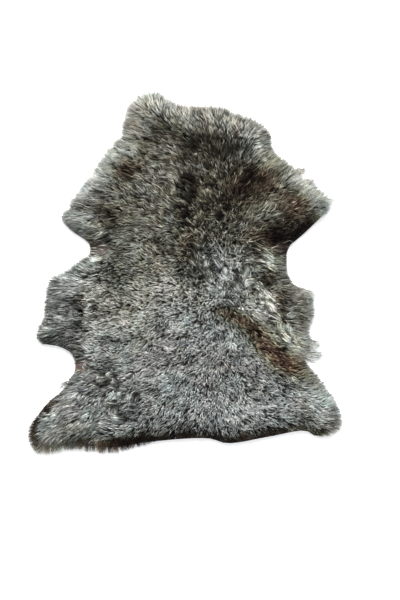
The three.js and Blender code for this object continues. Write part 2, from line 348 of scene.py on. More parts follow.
# Locks and curls that stand out: root, sizes, heading in degrees from +X, bend to the left, stops, warmth
LOCKS = in_metres(4, [
    # place, x, y, length, width, heading, bend, stops, warmth
    ("flank fold, first curl", 182, -77, 54, 16, 195, 70, 0, 0.2),
    ("flank fold, upper point", 235, -198, 96, 18, -26, 30, 0.4, 0),
    ("flank fold, light lock", 228, -222, 80, 12, -14, 15, -0.6, 0.3),
    ("flank fold, lower point", 225, -238, 104, 15, -14, 20, 0.6, 0),
    ("right flank, top point", 226, -90, 92, 18, -12, 15, 0.9, -0.1),
    ("right flank, upper", 245, -140, 50, 10, -3, 10, 0.6, 0),
    ("right flank, middle", 245, -166, 50, 10, -5, 10, 0.6, 0),
    ("right flank, lower", 245, -190, 50, 10, -8, 10, 0.5, 0),
    ("neck, first lock", 158, 330, 60, 9, 27, -30, 1.7, 0),
    ("neck, second lock", 160, 316, 56, 9, 10, -20, 1.7, 0),
    ("neck, third lock", 165, 296, 56, 9, 22, -25, 1.7, 0),
    ("neck, fourth lock", 168, 274, 58, 9, 22, -25, 1.7, 0),
    ("neck, fifth lock", 175, 256, 50, 9, 24, -20, 1.7, 0),
    ("neck hollow, first curl", 26, 301, 22, 10, 60, 70, 2, -0.2),
    ("neck hollow, second curl", 18, 265, 22, 10, 80, -60, 1.6, -0.2),
    ("neck hollow, third curl", -14, 332, 22, 10, 100, 60, 1.4, -0.2),
    ("neck hollow, fourth curl", 68, 338, 22, 10, 20, 60, 1.6, -0.2),
    ("neck hollow, fifth curl", 123, 338, 22, 10, 40, 60, 1, -0.2),
    ("left waist", -198, -8, 62, 11, 188, -15, 3, -0.1),
    ("left belly's edge", -215, -132, 45, 12, 210, 20, -0.2, 0),
    ("right waist, first", 153, 34, 58, 17, -34, 40, 0.9, 0),
    ("right waist, second", 165, 7, 66, 17, -28, 40, 0.9, 0),
    ("right waist, third", 158, -20, 75, 16, -12, 40, 0.8, 0),
    ("left foreleg's fold", -192, 62, 58, 12, 202, 0, 0.9, 0),
    ("right shoulder's end", 272, 226, 46, 17, 37, -20, 0.5, 0),
    ("right foreleg, corner", 298, 200, 38, 17, 39, -10, 0.5, 0),
    ("right foreleg, tip", 335, 150, 43, 17, 16, 20, 0.5, 0),
])

# Folds whose crest is a row of small tufts: where it runs, its width, the way the tufts point
FOLDS = in_metres(5, [
    # place, start x, start y, end x, end y, width, tufts, heading, stops
    ("flank fold", 165, -85, 245, -225, 46, 30, -38, -0.9),
    ("left thigh", -235, -320, -90, -405, 75, 26, 205, -0.9),
    ("back", 0, 10, 130, -100, 110, 34, -60, -1.3),
    ("upper back", 20, 200, 70, 60, 110, 30, 150, -0.5),
])
FOLD_TUFT = (0.038, 0.014)  # length and width
FOLD_SIZES = (0.7, 1.3)  # least and greatest factor on them
FOLD_TURN = 22  # degrees by which their headings differ, and by which they bend
FOLD_BEND = 60
FOLD_SHADES = 0.35  # stops by which they differ

# The strands of locks and tufts
LOCK_STRANDS = 55000  # per square metre
LOCK_RINGS = 4
LOCK_RING_WIDTHS = (0.9, 1.0, 0.9, 0.7)
LOCK_WIDTHS = (0.9, 1.7)  # least and greatest factor on a strand's width
LOCK_ROOTS = 0.4  # they start within this share of the length
LOCK_ENDS = (0.8, 1.05)  # and end between these
LOCK_SPREAD = 4  # degrees by which they differ
LOCK_WAVE = 0.25  # radians by which they swing to either side, how often, and how far out of step
LOCK_WAVES = 1.2
LOCK_WAVE_SHIFT = 0.12
LOCK_SIDE = 0.35  # how far they lie to the side, as a share of the width
LOCK_TAPER = 0.7  # share of that which is lost towards the tip
LOCK_ARCH = (0.85, 0.9)  # share of the pile's height at both ends, and what an arch adds between
LOCK_LIFTS = (0.86, 1.08)  # least and greatest factor on that for a lock, and for a strand
STRAND_LIFTS = (0.96, 1.04)
LOCK_LEAST = 0.006  # least height
LOCK_STOPS = 1.2  # how much they differ in shade
LOCK_EDGE_SHADE_STOPS = -1.5  # painted shade: how much darker they are for each LOCK_SIDE to the side beyond this many
LOCK_EDGE_MEAN = 0.8

# Places where the wool is combed another way: half length and width, lean, heading from +X, how strongly
COMBED = in_metres(5, [
    # place, x, y, long, wide, lean, heading, strength
    ("neck, right locks", 195, 325, 45, 45, 30, 5, 1.5),
    ("right waist", 205, -2, 45, 42, 34, -22, 2.5),
    ("flank fold", 205, -172, 70, 55, 24, -36, 2),
    ("right flank", 278, -130, 45, 62, 38, -6, 2.5),
    ("left flank", -325, -140, 60, 90, 36, 182, 3),
    ("left hind leg", -270, -380, 80, 55, 30, 230, 2),
])


def unit(vectors):
    """The same directions at length 1."""
    length = np.linalg.norm(vectors, axis=-1, keepdims=True)
    return vectors / np.maximum(length, 1e-9)


def leftward(vectors):
    """The same vectors turned to the left by a right angle."""
    return np.stack((-vectors[..., 1], vectors[..., 0]), axis=-1)


def blob(x, y, middle_x, middle_y, long, wide, degrees=0):
    """How strongly a patch of a table counts at each place, from 0 to 1."""
    turn = math.radians(degrees)
    along = (x - middle_x) * math.cos(turn) + (y - middle_y) * math.sin(turn)
    across = (y - middle_y) * math.cos(turn) - (x - middle_x) * math.sin(turn)
    return np.exp(-((along / long) ** 2) - (across / wide) ** 2)


def blend(grid, rows, columns, up, across):
    """Values between two rows and two columns of a grid, by the shares of the way up and across."""
    low = grid[rows[0], columns[0]] * (1 - across) + grid[rows[0], columns[1]] * across
    high = grid[rows[1], columns[0]] * (1 - across) + grid[rows[1], columns[1]] * across
    return low * (1 - up) + high * up


def smooth_noise(x, y, size, seed):
    """Smooth noise from -1 to 1 with lumps about size metres across."""
    values = np.random.default_rng(seed).uniform(-1, 1, (LATTICE, LATTICE))
    column = np.floor(x / size).astype(int)
    row = np.floor(y / size).astype(int)
    across = x / size - column
    up = y / size - row
    across = across * across * (3 - 2 * across)
    up = up * up * (3 - 2 * up)
    rows = (row % LATTICE, (row + 1) % LATTICE)
    columns = (column % LATTICE, (column + 1) % LATTICE)
    return blend(values, rows, columns, up, across)


def open_sides(triangles):
    """The sides that only one of the triangles has."""
    sides = {(t[i], t[(i + 1) % 3]) for t in triangles.tolist() for i in range(3)}
    return [(a, b) for a, b in sorted(sides) if (b, a) not in sides]


# Reading the solid

def solid_arrays(node):
    """Points and triangles of a CAD node, with equal points joined."""
    mesh = node.data
    mesh.calc_loop_triangles()
    points = np.empty(3 * len(mesh.vertices))
    mesh.vertices.foreach_get("co", points)
    corners = np.empty(3 * len(mesh.loop_triangles), dtype=np.int32)
    mesh.loop_triangles.foreach_get("vertices", corners)
    points, joined = np.unique(points.reshape(-1, 3).round(6), axis=0, return_inverse=True)
    return points, joined.reshape(-1)[corners].reshape(-1, 3)


def cut_edge(points, triangles):
    """The outline of the flat underside, anticlockwise from above."""
    on_floor = points[triangles, 2] < 1e-5
    following = dict(open_sides(triangles[on_floor.all(axis=1)]))
    first = min(following)
    loop = [first]
    while following[loop[-1]] != first:
        loop.append(following[loop[-1]])
    return points[loop[::-1], :2]


def edge_place(x, y):
    """Each place's distance in from the cut edge (below 0 outside), the way out, and its station on the edge.

    The places are taken some at a time, to save memory."""
    places = np.stack((x, y), axis=-1)
    inside = np.empty(len(places))
    outward = np.empty((len(places), 2))
    station = np.empty(len(places))
    for first in range(0, len(places), 8192):
        part = slice(first, first + 8192)
        some = places[part, None]
        share = np.clip(((some - EDGE) * EDGE_SIDES).sum(axis=2) / EDGE_STEPS ** 2, 0, 1)
        gap = np.linalg.norm(EDGE + share[..., None] * EDGE_SIDES - some, axis=2)
        nearest = gap.argmin(axis=1)
        rows = np.arange(len(nearest))
        below = EDGE[:, 1] > some[..., 1]
        crosses = below != np.roll(below, -1, axis=1)
        rise = np.where(EDGE_SIDES[:, 1] == 0, 1, EDGE_SIDES[:, 1])
        meets = EDGE[:, 0] + (some[..., 1] - EDGE[:, 1]) / rise * EDGE_SIDES[:, 0]
        within = (crosses & (some[..., 0] < meets)).sum(axis=1) % 2 == 1
        share = share[rows, nearest][:, None]
        after = (nearest + 1) % len(EDGE)
        inside[part] = np.where(within, 1, -1) * gap[rows, nearest]
        outward[part] = unit(EDGE_OUT[nearest] * (1 - share) + EDGE_OUT[after] * share)
        station[part] = EDGE_STATION[nearest] + share[:, 0] * EDGE_STEPS[nearest]
    return inside, outward, station


def edge_outward():
    """The way out from the skin at each point of the edge, smoothed a little."""
    out = -unit(leftward(EDGE_SIDES))
    return unit(sum(np.roll(out, shift, axis=0) for shift in (-1, 0, 1, 2)))


def rim_reach():
    """How far the wool reaches past the edge at each of its points: as far as the solid's locks."""
    inside, _, station = edge_place(*SOLID_POINTS[:, :2].T)
    apart = np.abs(EDGE_STATION[:, None] - station)
    apart = np.minimum(apart, EDGE_LENGTH - apart)
    reach = np.where(apart < REACH_SPAN, -inside, 0).max(axis=1)
    reach = sum(np.roll(reach, shift) for shift in (-1, 0, 1)) / 3
    return np.maximum(reach, LEAST_REACH)


def around(grid):
    """The sum of each value of a grid and its neighbours."""
    return sum(np.roll(grid, (i, j), (0, 1)) for i in (-1, 0, 1) for j in (-1, 0, 1))


def evened(heights, times):
    """The same heights averaged with their neighbours so many times. Bare floor, at 0, isn't counted."""
    for _ in range(times):
        covered = (heights > 0).astype(float)
        heights = around(heights) / np.maximum(around(covered), 1)
    return heights


def solid_heights():
    """Heights of the solid's top on an even grid."""
    surface = BVHTree.FromPolygons(SOLID_POINTS.tolist(), SOLID_TRIANGLES.tolist())
    columns = np.arange(cad_box[0].x, cad_box[1].x + HEIGHT_STEP, HEIGHT_STEP)
    rows = np.arange(cad_box[0].y, cad_box[1].y + HEIGHT_STEP, HEIGHT_STEP)
    heights = np.zeros((len(rows), len(columns)))
    for i, y in enumerate(rows):
        for j, x in enumerate(columns):
            hit = surface.ray_cast(Vector((x, y, 1)), Vector((0, 0, -1)))[0]
            heights[i, j] = hit.z if hit else 0
    return heights


def read_grid(grid, x, y):
    """A value of an even grid over the skin at any place, between the points of the grid."""
    column = np.clip((x - cad_box[0].x) / HEIGHT_STEP, 0, grid.shape[1] - 1.001)
    row = np.clip((y - cad_box[0].y) / HEIGHT_STEP, 0, grid.shape[0] - 1.001)
    j = column.astype(int)
    i = row.astype(int)
    return blend(grid, (i, i + 1), (j, j + 1), row - i, column - j)


def pile_height(x, y):
    """Height of the wool's tips over the floor, read from the solid."""
    return read_grid(HEIGHTS, x, y)


SOLID_POINTS, SOLID_TRIANGLES = solid_arrays(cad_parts["sheepskin"])
EDGE = cut_edge(SOLID_POINTS, SOLID_TRIANGLES)
EDGE_SIDES = np.roll(EDGE, -1, axis=0) - EDGE
EDGE_STEPS = np.linalg.norm(EDGE_SIDES, axis=1)
EDGE_OUT = edge_outward()
EDGE_LENGTH = EDGE_STEPS.sum()
EDGE_STATION = np.concatenate(([0], EDGE_STEPS.cumsum()[:-1]))
EDGE_REACH = rim_reach()
HEIGHTS = evened(solid_heights(), 2)
EVEN_HEIGHTS = evened(HEIGHTS, 40)


# What the wool is like at each place

def bareness(x, y, spread=1):
    """1 where the hide is bare, falling to 0 around it."""
    bare = np.zeros(len(x))
    for _, middle_x, middle_y, radius, _ in BARE:
        gap = np.hypot(x - middle_x, y - middle_y) / (spread * radius)
        bare = np.maximum(bare, np.clip(1.8 - 1.4 * gap, 0, 1))  # 1 to 0.57 of the radius, 0 from 1.29 of it
    return bare


def bareness_along(start, end):
    """The greatest bareness on the way from one place to another."""
    steps = [bareness(*(start + share * (end - start)).T) for share in (0, 0.33, 0.67, 1)]
    return np.max(steps, axis=0)


def curliness(x, y):
    """1 in the middle of the curlier part, falling to 0 around it."""
    return blob(x, y, *CURL_PLACE, *CURL_SIZE)


def hue_noise(x, y, seed):
    """Noise for patches of differing hue: one for each of their sizes, together."""
    return sum(smooth_noise(x, y, size, seed + i) for i, size in enumerate(HUE_SIZES))


def tone_with_painted_shade(x, y):
    """Brightness factor and warmth of the wool: its own shade and hue, with painted shade in hollows and
    creases and painted light on crests.
    """
    above = (pile_height(x, y) - read_grid(EVEN_HEIGHTS, x, y)) / HOLLOW_DEPTH
    stops = HOLLOW_SHADE_STOPS * np.clip(above, -1, 1) + RIPPLE_SHADE_STOPS * ripples(x, y)
    stops = stops + (1 + CURL_WAVES * curliness(x, y)) * waves(x, y, column=2)
    warmth = HUE_WARMTH * hue_noise(x, y, WARMTH_SEED)
    for _, *patch, patch_stops, patch_warmth in TONE_AND_SHADE_PATCHES:
        share = blob(x, y, *patch)
        stops = stops + share * patch_stops
        warmth = warmth + share * patch_warmth
    return 2 ** stops, warmth


def ripples(x, y):
    """Ripples across the way the wool lies, in some places and not in others, from -1 to 1."""
    out = np.hypot(x - CORE[0], y - CORE[1])
    phase = out / RIPPLE_SIZE + RIPPLE_BEND * smooth_noise(x, y, RIPPLE_BEND_SIZE, RIPPLE_SEEDS[0])
    share = np.clip(0.5 + smooth_noise(x, y, RIPPLE_PATCH, RIPPLE_SEEDS[1]), 0, 1)
    return share * np.sin(2 * math.pi * phase)


def waves(x, y, column):
    """The soft waves together, each as strong as a column of their table says."""
    return sum(row[column] * smooth_noise(x, y, row[0], WAVE_SEED + i) for i, row in enumerate(WAVES))


def along_edge(values, station):
    """A value known at each point of the edge, at any station along it."""
    return np.interp(station, np.append(EDGE_STATION, EDGE_LENGTH), np.append(values, values[0]))


def edge_at(vectors, station):
    """A vector known at each point of the edge, at any station along it."""
    return np.stack([along_edge(part, station) for part in vectors.T], axis=-1)


def reach_past(station):
    """How far the wool reaches past the edge at a station on it."""
    x, y = edge_at(EDGE, station).T
    reach = along_edge(EDGE_REACH, station)
    for _, *middle, radius, share in NICKS:
        reach = reach * (1 - share * blob(x, y, *middle, radius, radius))
    return reach


def rim_stops(station):
    """Stops for the wool at the rim: light where it is long, and dark along the dark edges, as painted shade.
    """
    long = np.clip(along_edge(EDGE_REACH, station) / LONG_REACH - 1, 0, 1)
    return RIM_STOPS * long + EDGE_SHADE_STOPS * dark_shaded_edge(station)


def dark_shaded_edge(station):
    """1 along the dark edges, which carry painted shade, falling to 0 elsewhere."""
    x, y = edge_at(EDGE, station).T
    dark = [blob(x, y, *patch) for _, *patch in DARK_SHADED_EDGES]
    return np.clip(2 * np.max(dark, axis=0), 0, 1)


def tufts(x, y):
    """The tuft each place belongs to, as a number, and the middle of that tuft."""
    spots = np.random.default_rng(TUFT_SEED).uniform(0, 1, (LATTICE, LATTICE, 2))
    column = np.floor(x / TUFT_SIZE).astype(int)
    row = np.floor(y / TUFT_SIZE).astype(int)
    nearest = np.full(len(x), np.inf)
    number = np.zeros(len(x), dtype=int)
    middle = np.zeros((len(x), 2))
    for i in (-1, 0, 1):
        for j in (-1, 0, 1):
            cell = ((row + i) % LATTICE, (column + j) % LATTICE)
            place = (np.stack((column + j, row + i), axis=-1) + spots[cell]) * TUFT_SIZE
            gap = np.hypot(place[:, 0] - x, place[:, 1] - y)
            nearer = gap < nearest
            nearest = np.where(nearer, gap, nearest)
            number = np.where(nearer, LATTICE * cell[0] + cell[1], number)
            middle = np.where(nearer[:, None], place, middle)
    return number, middle


def from_core(x, y):
    """0 at the middle of the back to 1 beyond it."""
    return np.minimum(np.hypot((x - CORE[0]) / CORE_SIZE[0], (y - CORE[1]) / CORE_SIZE[1]), 1)


def lean_direction(x, y, near_rim, outward):
    """The way the wool leans, as seen from above."""
    scatter = np.array(FLOW_SCATTER) * rng.normal(size=(len(x), 2))
    aside = x - SPINE_X - SPINE_SLOPE * y + scatter[:, 0]
    along = FLOW_ALONG * np.tanh((y - PARTING_Y + scatter[:, 1]) / PARTING_SIZE)
    away = unit(np.stack((aside, along), axis=-1))
    near_rim = near_rim[:, None]
    heading = away * (1 - near_rim) + outward * near_rim
    for i, size in enumerate(WANDER_SIZES):
        across, up = (smooth_noise(x, y, size, seed + i) for seed in WANDER_SEEDS)
        heading = heading + WANDER * (1 - RIM_STEADY * near_rim) * np.stack((across, up), axis=-1)
    return unit(heading)


def turned(heading, turn):
    """The same headings, each turned to the left by an angle."""
    return np.cos(turn)[:, None] * heading + np.sin(turn)[:, None] * leftward(heading)


def combed(x, y, heading, lean):
    """The same lean, changed where a row of the table combs the wool another way, and how strongly it is."""
    most = np.zeros(len(x))
    for _, *patch, combed_lean, degrees, strength in COMBED:
        share = blob(x, y, *patch)
        way = np.array((math.cos(math.radians(degrees)), math.sin(math.radians(degrees))))
        heading = heading + strength * share[:, None] * way
        lean = lean + (combed_lean - lean) * share
        most = np.maximum(most, share)
    return unit(heading), lean, most


# Materials

def set_inputs(node, values):
    """Sets inputs of a shader node."""
    for name, value in values.items():
        node.inputs[name].default_value = value


def new_material(name, roughness, specular):
    """A plain shader to build on, with its node tree and its main node."""
    material = bpy.data.materials.new(name)
    material.use_nodes = True
    tree = material.node_tree
    shader = tree.nodes["Principled BSDF"]
    set_inputs(shader, {"Roughness": roughness, "Specular IOR Level": specular})
    return material, tree, shader


def tint_node(tree):
    """The colour of a piece's points."""
    node = tree.nodes.new("ShaderNodeVertexColor")
    node.layer_name = "tint"
    return node


def wool_material():
    """Wool in the colours of its strands."""
    material, tree, shader = new_material("wool", roughness=0.6, specular=0.1)
    tint = tint_node(tree)
    tree.links.new(tint.outputs["Color"], shader.inputs["Base Color"])
    return material


def add_node(tree, kind, values):
    """A shader node with some of its inputs set."""
    node = tree.nodes.new(kind)
    set_inputs(node, values)
    return node


def mottled_material(name, dark, light, scale, roughness, bump):
    """The colour of the points, mottled between a dark and a light share of it, with a fine bump."""
    material, tree, shader = new_material(name, roughness, specular=0.2)
    place = tree.nodes.new("ShaderNodeTexCoord")
    coarse = add_node(tree, "ShaderNodeTexNoise", {"Scale": scale, "Detail": 6})
    fine = add_node(tree, "ShaderNodeTexNoise", {"Scale": 12 * scale, "Detail": 4})
    ends = {"From Min": 0.3, "From Max": 0.7, "To Min": dark, "To Max": light}
    share = add_node(tree, "ShaderNodeMapRange", ends)
    tint = tint_node(tree)
    mottled = tree.nodes.new("ShaderNodeVectorMath")
    mottled.operation = "SCALE"
    relief = add_node(tree, "ShaderNodeBump", {"Strength": bump, "Distance": 0.001})
    links = [
        (place, "Object", coarse, "Vector"),
        (place, "Object", fine, "Vector"),
        (coarse, "Fac", share, "Value"),
        (tint, "Color", mottled, "Vector"),
        (share, "Result", mottled, "Scale"),
        (mottled, "Vector", shader, "Base Color"),
        (fine, "Fac", relief, "Height"),
        (relief, "Normal", shader, "Normal"),
    ]
    for source, output, target, socket in links:
        tree.links.new(source.outputs[output], target.inputs[socket])
    return material


WOOL = wool_material()
UNDERWOOL = mottled_material("underwool", dark=0.4, light=1.4, scale=60, roughness=0.9, bump=0.6)
SUEDE = mottled_material("suede", dark=0.6, light=1.3, scale=28, roughness=0.85, bump=0.4)


# Pieces

def add_piece(name, points, triangles, material):
    """A smooth mesh piece of the skin from arrays."""
    mesh = bpy.data.meshes.new(name)
    count = len(triangles)
    mesh.vertices.add(len(points))
    mesh.vertices.foreach_set("co", points.astype(np.float32).ravel())
    mesh.loops.add(3 * count)
    mesh.loops.foreach_set("vertex_index", triangles.astype(np.int32).ravel())
    mesh.polygons.add(count)
    mesh.polygons.foreach_set("loop_start", np.arange(0, 3 * count, 3, dtype=np.int32))
    mesh.polygons.foreach_set("use_smooth", np.ones(count, dtype=bool))
    mesh.update(calc_edges=True)
    mesh.materials.append(material)
    piece = bpy.data.objects.new(name, mesh)
    bpy.context.scene.collection.objects.link(piece)
    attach(piece, "root")
    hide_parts("sheepskin")
    return piece


def add_tints(piece, tints):
    """A colour for each point of a piece."""
    layer = piece.data.color_attributes.new("tint", "FLOAT_COLOR", "POINT")
    layer.data.foreach_set("color", np.column_stack((tints, np.ones(len(tints)))).astype(np.float32).ravel())


def scattered(step, stray):
    """Places on an even grid over the skin's box, each strayed by up to a share of the grid's step."""
    columns = np.arange(cad_box[0].x, cad_box[1].x, step)
    rows = np.arange(cad_box[0].y, cad_box[1].y, step)
    x, y = (grid.ravel() for grid in np.meshgrid(columns, rows))
    x = x + rng.uniform(-stray, stray, len(x)) * step
    y = y + rng.uniform(-stray, stray, len(y)) * step
    return x, y


def closed_sheet(border, step, top, bottom):
    """Points and triangles of a closed sheet in a border, with its top at top(x, y) and a flat bottom."""
    x, y = scattered(step, SHEET_STRAY)
    inside = edge_place(x, y)[0]
    kept = inside > BORDER_SHARE * step + BARE_MARGIN
    flat = np.concatenate((border, np.stack((x, y), axis=-1)[kept]))
    result = delaunay_2d_cdt([Vector(p) for p in flat], [], [list(range(len(border)))], 1, 1e-7)
    flat = np.array(result[0])
    faces = np.array(result[2])
    rim = np.array(open_sides(faces))
    count = len(flat)
    x, y = flat[:, 0], flat[:, 1]
    points = np.concatenate((
        np.column_stack((x, y, top(x, y))),
        np.column_stack((x, y, np.full(count, bottom))),
    ))
    triangles = np.concatenate((
        faces,
        faces[:, ::-1] + count,
        np.column_stack((rim[:, 1], rim[:, 0], rim[:, 0] + count)),
        np.column_stack((rim[:, 1], rim[:, 0] + count, rim[:, 1] + count)),
    ))
    return points, triangles


def add_hide():
    """The tanned skin itself, flat on the floor."""
    def top(x, y):
        return np.full(len(x), HIDE_THICKNESS)

    points, triangles = closed_sheet(EDGE, HIDE_STEP, top, bottom=0.0)
    piece = add_piece("hide", points, triangles, SUEDE)
    light = np.ones(len(points))
    for _, *middle, radius, bare_light in BARE:
        spread = BARE_LIGHT_SPREAD * radius
        near = blob(*points[:, :2].T, *middle, spread, spread)
        light = light + (bare_light - 1) * near
    add_tints(piece, light[:, None] * HIDE_COLOUR)
    return piece


def add_underwool():
    """The dense dark wool between the roots of the strands, its darkness partly painted shade deep in the
    pile.
    """
    bare = bareness(*EDGE.T)[:, None]
    border = EDGE + (UNDERWOOL_OVERHANG * (1 - bare) - BARE_MARGIN * bare) * EDGE_OUT

    def top(x, y):
        lumps = UNDERWOOL_LUMPS * smooth_noise(x, y, UNDERWOOL_LUMP_SIZE, LUMP_SEED)
        height = HIDE_THICKNESS + (pile_height(x, y) - HIDE_THICKNESS) * UNDERWOOL_SHARE + lumps
        share = bareness(x, y, BARE_SINK_SPREAD)
        return height * (1 - share) + (HIDE_THICKNESS - BARE_DEPTH) * share

    points, triangles = closed_sheet(border, UNDERWOOL_STEP, top, bottom=0.5 * HIDE_THICKNESS)
    piece = add_piece("underwool", points, triangles, UNDERWOOL)
    bright, warmth = tone_with_painted_shade(*points[:, :2].T)
    inside, _, station = edge_place(*points[:, :2].T)
    # painted shade along the dark edges
    dark = dark_shaded_edge(station) * np.clip(1 - inside / DARK_WIDTH, 0, 1)
    bright = bright * 2 ** (EDGE_SHADE_STOPS * np.sqrt(dark))
    add_tints(piece, SHADED_UNDERWOOL_COLOUR * bright[:, None] * tint_of(warmth + DARK_WARMTH * dark))
    return piece


def add_strands(name, path, width, colour):
    """Closed three-sided strands: points at root and tip, and a ring of three at each step between.

    path has the places along each strand, colour one for each of them, and width one for each ring."""
    count, steps, _ = path.shape
    rings = steps - 2
    along = unit(path[:, 2:] - path[:, :-2])
    spin = unit(rng.normal(size=(count, 1, 3)))
    across = unit(np.cross(along, spin))
    up = np.cross(along, across)
    turn = 2 * math.pi / 3 * np.arange(3)
    around = np.cos(turn)[:, None] * across[:, :, None] + np.sin(turn)[:, None] * up[:, :, None]
    ring = path[:, 1:-1, None] + 0.5 * width[:, :, None, None] * around
    points = np.concatenate((path[:, :1], ring.reshape(count, 3 * rings, 3), path[:, -1:]), axis=1)
    tip = 3 * rings + 1
    one = []
    for k in range(3):
        a = 1 + k
        b = 1 + (k + 1) % 3
        one.append((0, b, a))
        for r in range(0, 3 * rings - 3, 3):
            one.append((a + r, b + r, b + r + 3))
            one.append((a + r, b + r + 3, a + r + 3))
        one.append((a + tip - 4, b + tip - 4, tip))
    first = np.arange(count)[:, None, None] * (tip + 1)
    triangles = (np.array(one) + first).reshape(-1, 3)
    piece = add_piece(name, points.reshape(-1, 3), triangles, WOOL)
    tints = np.concatenate((colour[:, :1], np.repeat(colour[:, 1:-1], 3, axis=1), colour[:, -1:]), axis=1)
    add_tints(piece, tints.reshape(-1, 3))
    add_cells(piece, count, rings, triangles)
    return piece


def add_cells(piece, count, rings, triangles):
    """A cell of the texture for each strand, so that it keeps its own colours when they are baked."""
    across = math.ceil(math.sqrt(count))
    margin = 0.06
    corner = [(0.5, margin)]
    for r in range(rings):
        up = margin + (1 - 2 * margin) * (r + 1) / (rings + 1)
        corner += [(side, up) for side in (0.15, 0.5, 0.85)]
    corner = np.array(corner + [(0.5, 1 - margin)])
    cell = np.stack((np.arange(count) % across, np.arange(count) // across), axis=-1)
    place = (cell[:, None] + corner) / across
    layer = piece.data.uv_layers.new(name="OFBake")
    layer.data.foreach_set("uv", place.reshape(-1, 2)[triangles.ravel()].astype(np.float32).ravel())


def tint_of(warmth):
    """Factors on red, green and blue for a warmth from -1 to 3."""
    _, warmths, *factors = zip(*TINTS)
    return np.stack([np.interp(warmth, warmths, factor) for factor in factors], axis=-1)


def strand_colours(path, stops, warmth, tip_gain):
    """Colours along each strand, from its dark root, partly painted shade, to its light tip, with the painted
    light and shade of each place.
    """
    count, steps, _ = path.shape
    x, y = path[..., 0], path[..., 1]
    bright, place_warmth = tone_with_painted_shade(x.ravel(), y.ravel())
    bright = bright.reshape(count, steps) * 2 ** stops[:, None]
    warmth = place_warmth.reshape(count, steps) + warmth[:, None] - DARK_HUE * np.log2(bright)
    tint = tint_of(warmth)
    tint[..., 0] *= 1 + HUE_RED * hue_noise(x, y, RED_SEED)
    share = np.linspace(0, 1, steps)[None, :, None]
    lower = SHADED_ROOT_COLOUR + (MIDDLE_COLOUR - SHADED_ROOT_COLOUR) * np.clip(2 * share, 0, 1)
    lightening = np.clip(2 * share - 1, 0, 1) * tip_gain[:, None, None]
    upper = MIDDLE_COLOUR + (TIP_COLOUR - MIDDLE_COLOUR) * lightening
    base = np.where(share < 0.5, lower, upper)
    colour = base * tint * bright[..., None]
    colour = colour / np.maximum(colour.max(axis=-1, keepdims=True) / BRIGHTEST, 1)
    return np.maximum(colour, DARKEST)


def bent_path(root, tip, rise, shares):
    """Places along strands that grow up from the root and then bend over to the tip."""
    knee = root + KNEE_SHARE * (tip - root)
    knee[:, 2] = root[:, 2] + rise
    t = np.array(shares)[None, :, None]
    return (1 - t) ** 2 * root[:, None] + 2 * t * (1 - t) * knee[:, None] + t ** 2 * tip[:, None]


def grown_places():
    """Places of the wool's clumps over the whole skin."""
    x, y = scattered(CLUMP_SPACING, CLUMP_STRAY)
    inside, outward, station = edge_place(x, y)
    kept = inside > LEAST_INSIDE
    return x[kept], y[kept], inside[kept], outward[kept], station[kept]


def foreness(y):
    """0 over the hind part to 1 over the shoulders and the neck."""
    return np.clip((y - FORE_START) / (FORE_FULL - FORE_START), 0, 1)


def clump_lean(x, y, near_rim, dark, outward, tuft):
    """The way each clump leans, how far, and how strongly it is combed."""
    upright = 1 - from_core(x, y)
    fore = foreness(y)
    lean = LEAN_BODY + (LEAN_CORE - LEAN_BODY) * upright
    lean = lean + (LEAN_FORE - lean) * fore
    lean = lean + (LEAN_RIM - lean) * near_rim
    heading, lean, sleek = combed(x, y, lean_direction(x, y, near_rim, outward), lean)
    lean = lean * rng.uniform(*LEAN_VARIES, len(x)) * (1 - DARK_UPRIGHT * dark)
    most = CLUMP_TURN + CORE_TURN * upright + FORE_TURN * fore + CURL_TURN * curliness(x, y)
    turn = rng.normal(0, 1, len(x)) * most + TUFT_TURN * rng.normal(size=LATTICE ** 2)[tuft]
    return turned(heading, turn * (1 - RIM_CALM * near_rim)), lean, sleek


